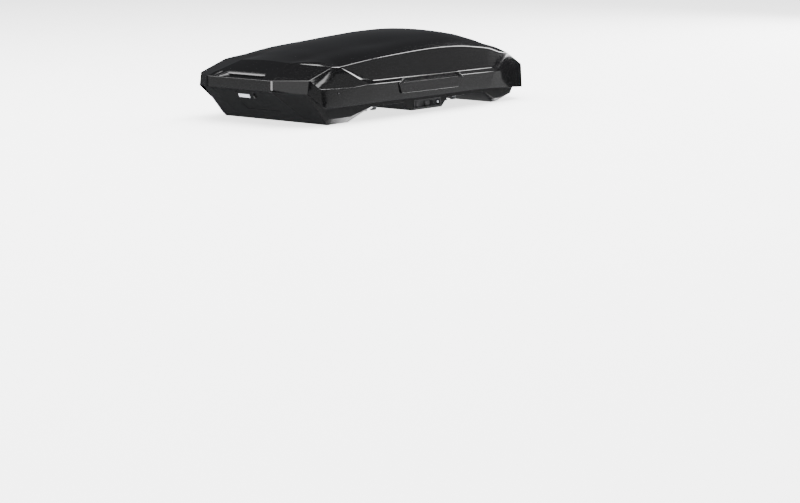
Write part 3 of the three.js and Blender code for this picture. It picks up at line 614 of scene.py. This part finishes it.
BASE = [
    base_section((rear(16), 196, RIM_Z + 98), (rear(18), 196, RIM_Z + 82), (rear(240), 214, TAIL_SILL_Z),
                 (rear(275), 217, 0), (rear(275), 0, 0)),
    base_section((rear(112), side(74), RIM_Z + 89), (rear(116), side(76), RIM_Z + 72),
                 (rear(250), side(73), TAIL_SILL_Z), (rear(275), side(77), 0), (rear(277), 0, 0)),
    base_section((rear(200), side(63), RIM_Z + 30), (rear(204), side(66), RIM_Z + 12),
                 (rear(272), side(66), SIDE_SILL_Z), (rear(300), side(80), 0), (rear(300), 0, 0)),
    base_section((rear(238), side(57), 98), (rear(240), side(64), RIM_Z - 4),
                 (rear(287), side(63), SIDE_SILL_Z), (rear(330), side(83), 0), (rear(330), 0, 0)),
    base_column(rear(440), SIDE_SILL_Z, 0),
    *seat(rear_bar, 125, 137),
    base_column(lock_low.x - 18, SKIRT_Z, SKIRT_Z),
    base_column(lock_rear, SKIRT_Z, SKIRT_Z),
    base_column(lock_front, SKIRT_Z, SKIRT_Z),
    base_column(lock_high.x + 8, SKIRT_Z, SKIRT_Z),
    *seat(front_bar, 170, 175),
    base_column(nose(372), 20, 0, 11),
    base_column(nose(312), 20, 0, 17),
    base_section((nose(132), side(102), RIM_Z - 10), (nose(152), side(106), RIM_Z - 30),
                 (nose(164), side(110), NOSE_SILL_Z), (nose(180), side(124), NOSE_BELLY_Z),
                 (nose(170), 0, NOSE_BELLY_Z)),
    base_section((nose(70), 190, RIM_Z - 10), (nose(94), 186, RIM_Z - 32), (nose(108), 184, NOSE_SILL_Z),
                 (nose(122), 178, NOSE_BELLY_Z), (nose(122), 0, NOSE_BELLY_Z)),
    base_section((nose(24), 68, RIM_Z - 10), (nose(48), 66, RIM_Z - 32), (nose(62), 64, NOSE_SILL_Z),
                 (nose(76), 62, NOSE_BELLY_Z), (nose(76), 0, NOSE_BELLY_Z)),
]
# Places of the seats and the skirt among those sections, and each seat's two slots and two ends.
REAR_SEAT, SKIRT, FRONT_SEAT = 5, 11, 15
SEAT_SLOTS, SEAT_ENDS = (1, 3), (0, 5)
WAIST, SILL, BELLY = 1, 8, 9
LOCK_ROWS = range(3, 7)
SLOT_ROW = BELLY + 1
SLOT_HALF = 11
waist_z = RIM_Z - 4
lock_edges = (lock_high.z - LOCK_EDGE, lock_low.z + LOCK_EDGE)
lock_shares = [(waist_z - z) / (waist_z - SKIRT_Z) for z in lock_edges]
SIDE_SHARES = (0.08, lock_shares[0], 0.39, 0.53, 0.77, lock_shares[1])
slot_y = middle("rear_left_clamp_rear_jaw").y


def base_rows(points):
    rim, waist, sill, belly, keel = points
    outer = side(83)
    slots = (1 - (slot_y + SLOT_HALF) / outer, 1 - (slot_y - SLOT_HALF) / outer)
    return ([rim, waist] + [waist.lerp(sill, t) for t in SIDE_SHARES] + [sill, belly]
            + [belly.lerp(keel, t) for t in (*slots, 0.65, 0.85)] + [keel])


base_columns = [base_rows(points) for points in BASE]
openings = {(SKIRT + 1, row) for row in LOCK_ROWS}
for first in (REAR_SEAT, FRONT_SEAT):
    openings |= {(first + k, SLOT_ROW) for k in SEAT_SLOTS}
base_skin = Skin()
walls(base_skin, base_columns, openings)
twin_lines(base_skin, [c[SILL] for c in base_columns], 4)
twin_lines(base_skin, [c[BELLY] for c in base_columns[:REAR_SEAT]], 5)
for k in (0, 1):
    twin_lines(base_skin, base_columns[k][WAIST:BELLY + 1], 4)
bends = [first + k for first in (REAR_SEAT, FRONT_SEAT) for k in SEAT_ENDS] + [SKIRT, SKIRT + 3]
for k in sorted(bends):
    twin_lines(base_skin, base_columns[k][SILL:], 5)

# tail panel with a shallow pocket
END_SHARES = [[1, 0.75, 0.5, 0.3, 0.15, 0]] * BELLY
tail_panel = cap_grid(base_columns[0], BELLY, END_SHARES)
cap(base_skin, tail_panel, {(k, j) for k in (4, 5) for j in (2, 3, 4)})
slope = (tail_panel[SILL][0] - tail_panel[WAIST][0]).normalized()
inward = Vector((-slope.z, 0, slope.x)).normalized()
pocket(base_skin, [across(tail_panel[k][2:]) for k in (4, 5, 6)], inward, 2.5, 0.05, 1.5)
base_skin.line(across(tail_panel[SILL]), 4)
cap(base_skin, cap_grid(base_columns[-1], BELLY, END_SHARES))
base_skin.finish("base", "base_satin", "base", WALL, ["base_shell"])

# Wedge on the tail. The badge on its steeper face is not drawn.
PAD_HALF, PAD_RUN = 58, 22
tail_top, tail_foot = BASE[0][1], BASE[0][2]
pad_top, pad_back = (tail_top.lerp(tail_foot, share) for share in (0.05, 0.28))
pad = Skin()
pad_face = [(pad_top.x, PAD_HALF + 4, pad_top.z), (pad_top.x + PAD_RUN, PAD_HALF - 8, pad_back.z)]
pad_root = [(pad_top.x + 3, PAD_HALF + 6, pad_top.z + 3), (pad_back.x + 2, PAD_HALF - 6, pad_back.z + 3)]
pad.face(pad_face[0], pad_face[1], mirrored(pad_face[1]), mirrored(pad_face[0]))
pad.face(pad_root[0], pad_root[1], mirrored(pad_root[1]), mirrored(pad_root[0]))
pad.face(pad_face[0], mirrored(pad_face[0]), mirrored(pad_root[0]), pad_root[0])
pad.face(pad_face[1], mirrored(pad_face[1]), mirrored(pad_root[1]), pad_root[1])
halves(pad, pad_face[0], pad_face[1], pad_root[1], pad_root[0])
pad_rim = [pad_face[0], pad_face[1], mirrored(pad_face[1]), mirrored(pad_face[0])]
pad.line([pad_rim[-1], *pad_rim], 2.5)
pad.finish("badge_pad", "base_satin", "base")

# ---------------------------------------------------------------- lock fittings
def plate(name, slot, body, low, high, edge):
    """A small moulded block between two corners, with rounded edges."""
    mesh = bmesh.new()
    bmesh.ops.create_cube(mesh, size=1)
    for v in mesh.verts:
        v.co = Vector(lerp(a, b, c + 0.5) * MM for a, b, c in zip(low, high, v.co))
    obj = mesh_object(name, mesh)
    add_bevel(obj, edge * MM)
    return dress(obj, slot, body)


# Each fitting's place along and up from the lock panel's low corner, its size, and how far it stands proud.
LOCK_FITTINGS = (
    ("lock_tile", "dark_plastic", (103, 11), (40, 26), 3),
    ("lock_window", "grip_plastic", (149, 12), (28, 21), 1.5),
)
LOCK_DEPTH = 11
KEY_COVER_HALF = 6
lock_floor = lock_high.y - LOCK_DEPTH
for name, hand in (("left", 1), ("right", -1)):
    for kind, slot, (along, up), (length, height), proud_by in LOCK_FITTINGS:
        ys = sorted((hand * (lock_floor - 1), hand * (lock_floor + proud_by)))
        low = (lock_low.x + along, ys[0], lock_low.z + up)
        high = (low[0] + length, ys[1], low[2] + height)
        plate(name + "_" + kind, slot, "base", low, high, 1)

    node = name + "_lock_slider"
    slider = plate(node + "_knob", "dark_plastic", name + "_slider", *box_mm(node), 2)
    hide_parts(node)

    low, high = box_mm(name + "_key_plug")
    hub = (low + high) / 2
    face_y = hand * max(abs(low.y), abs(high.y))
    ys = sorted((face_y - hand, face_y + hand))
    plate(name + "_key_cover", "pale_grey", name + "_key",
          (hub.x - KEY_COVER_HALF, ys[0], hub.z - KEY_COVER_HALF),
          (hub.x + KEY_COVER_HALF, ys[1], hub.z + KEY_COVER_HALF), 4)

# ---------------------------------------------------------------- edges of the fittings
FITTING_EDGE = 0.6
REBUILT = {"lid_shell", "base_shell"} | {s + n for s in ("left_", "right_") for n in ("grip", "lock_slider")}
for node, obj in frame["nodes"].items():
    if node not in REBUILT:
        add_bevel(obj, FITTING_EDGE * MM, 2, angle=40)


# ---------------------------------------------------------------- rivets
def rivet(name, body, centre, normal, radius, slot):
    """A low domed head on a face."""
    head = bmesh.new()
    bmesh.ops.create_uvsphere(head, u_segments=20, v_segments=10, radius=radius * MM)
    bmesh.ops.scale(head, vec=(1, 1, 0.45), verts=head.verts)
    turn_to = Vector(normal).to_track_quat("Z", "Y").to_matrix().to_4x4()
    bmesh.ops.transform(head, matrix=Matrix.Translation(Vector(centre) * MM) @ turn_to, verts=head.verts)
    dress(mesh_object(name, head), slot, body)


for name, hand in (("left", 1), ("right", -1)):
    for k, x in enumerate((rear(285), rear(352))):
        centre = (x, hand * side(16), CREASE_Z - 22)
        rivet(f"{name}_tail_rivet_{k + 1}", "lid", centre, (0, hand, -0.37), 4, "dark_plastic")

# ---------------------------------------------------------------- side grips
for name, hand in (("left", 1), ("right", -1)):
    low, high = box_mm(name + "_grip")
    outer = max(abs(low.y), abs(high.y))
    ridge = CREASE_Z - 8

    def face_point(x, z, depth=0.0):
        """A point on the grip's face, which leans in below its ridge."""
        lean = max(0.0, ridge - z) * 0.27
        return Vector((x, hand * (outer - lean - depth), z))

    def back_point(p):
        z = p.z
        skin_y = side(0) - (CREASE_Z - z) * 0.383 if z < CREASE_Z else side(0) - (z - CREASE_Z) * 0.5
        return Vector((p.x, hand * (skin_y - 1.5), z))

    ring = [(low.x, ridge), (low.x + 44, low.z + 2), (high.x - 30, low.z), (high.x, high.z - 35),
            (high.x - 7, ridge), (high.x - 52, high.z), (low.x + 48, high.z)]
    A, B, C, D, M, E, F = (face_point(x, z) for x, z in ring)
    a, m, e, f = (face_point(x, z) for x, z in ((low.x + 40, ridge + 2), (high.x - 34, ridge + 2),
                                                (high.x - 62, high.z - 5), (low.x + 62, high.z - 5)))
    lip = [a, m, e, f]
    well = [face_point(p.x + dx, p.z + dz, deep) for p, dx, dz, deep in
            ((a, 4, 1, 3), (m, -4, 1, 3), (e, -2, -1, 9), (f, 2, -1, 9))]
    grip = Skin()
    grip.face(A, B, C, D, M)
    for p, q, r, t in ((A, M, m, a), (M, E, e, m), (E, F, f, e), (F, A, a, f)):
        grip.face(p, q, r, t)
    for k in range(4):
        grip.face(lip[k], lip[(k + 1) % 4], well[(k + 1) % 4], well[k])
    grip.face(*well)
    loop = [A, B, C, D, M, E, F, A]
    for p, q in zip(loop, loop[1:]):
        grip.face(p, q, back_point(q), back_point(p))
    grip.face(*[back_point(p) for p in loop[:-1]])
    grip.line(loop, 3)
    grip.line([A, M], 1.5)
    grip.line(lip + [a], 1.2)
    grip.finish(name + "_side_grip", "grip_plastic", "lid", replaces=[name + "_grip"])

# ---------------------------------------------------------------- light and floor
world = bpy.data.worlds.new("studio")
world.use_nodes = True
world.node_tree.nodes["Background"].inputs["Color"].default_value = (0.09, 0.092, 0.097, 1)
scene.world = world


def softbox(name, place, target, size, radiance):
    data = bpy.data.lights.new(name, "AREA")
    data.shape = "RECTANGLE"
    data.size, data.size_y = size
    data.energy = radiance * math.pi * size[0] * size[1]
    lamp = bpy.data.objects.new(name, data)
    scene.collection.objects.link(lamp)
    lamp.location = place
    lamp.rotation_euler = (Vector(target) - Vector(place)).to_track_quat("-Z", "Y").to_euler()


# Places, targets and sizes are in metres. Each lamp's place follows from the face or edge that mirrors it,
# and the overhead one lights the floor.
softbox("front_softbox", (7.2, -0.25, 3.6), (0, -0.4, 0.2), (3.2, 5.6), 16)
softbox("upper_softbox", (4.4, -1.0, 6.6), (0, -0.4, 0.2), (3.0, 2.4), 14)
softbox("side_softbox", (4.3, -5.8, 4.9), (0.5, -0.4, 0.2), (0.9, 0.9), 10)
softbox("panel_card", (6.4, -5.0, 1.9), (0, -0.4, 0.25), (6, 4.6), 0.4)
softbox("low_card", (6.2, -1.2, -3.6), (0, -0.4, 0.2), (14, 4.2), 0.6)
softbox("tail_softbox", (-8.0, 0.3, -0.2), (-1, 0, 0.2), (4.4, 3.4), 14)
softbox("tail_card", (-7.2, 4.9, -1.2), (-1, 0, 0.2), (3.6, 3.0), 0.8)
softbox("corner_card", (-1.8, -5.4, -4.6), (-0.9, -0.4, 0.2), (9, 6), 0.5)
softbox("edge_card", (5.6, 0.8, -3.9), (0, -0.4, 0.15), (2.2, 1.8), 9)
softbox("corner_fill", (-7.0, -4.4, 0.2), (-1, -0.3, 0.2), (3.6, 3.4), 1.6)
softbox("left_softbox", (-4.6, 4.4, 4.4), (-1, 0, 0.2), (3.4, 3.4), 12)
softbox("overhead", (-2, -2, 9), (-2, -2, 0), (12, 12), 10)

FLOOR_HALF, FLOOR_Z = 60, -0.001
floor_corners = [(x * FLOOR_HALF, y * FLOOR_HALF, FLOOR_Z) for x, y in ((-1, -1), (1, -1), (1, 1), (-1, 1))]
floor_mesh = bpy.data.meshes.new("floor")
floor_mesh.from_pydata(floor_corners, [], [(0, 1, 2, 3)])
floor = bpy.data.objects.new("floor", floor_mesh)
scene.collection.objects.link(floor)
floor_look, floor_shader = node_material("pale_floor")
floor_tone = blend_colours(floor_look, noise(floor_look, 2, 3), (0.86, 0.86, 0.86), (0.88, 0.88, 0.88))
floor_look.node_tree.links.new(floor_tone, floor_shader.inputs["Base Color"])
floor_shader.inputs["Roughness"].default_value = 0.9
floor_shader.inputs["Emission Color"].default_value = (1, 1, 1, 1)
floor_shader.inputs["Emission Strength"].default_value = 2.2
floor.data.materials.append(floor_look)
floor.visible_glossy = False
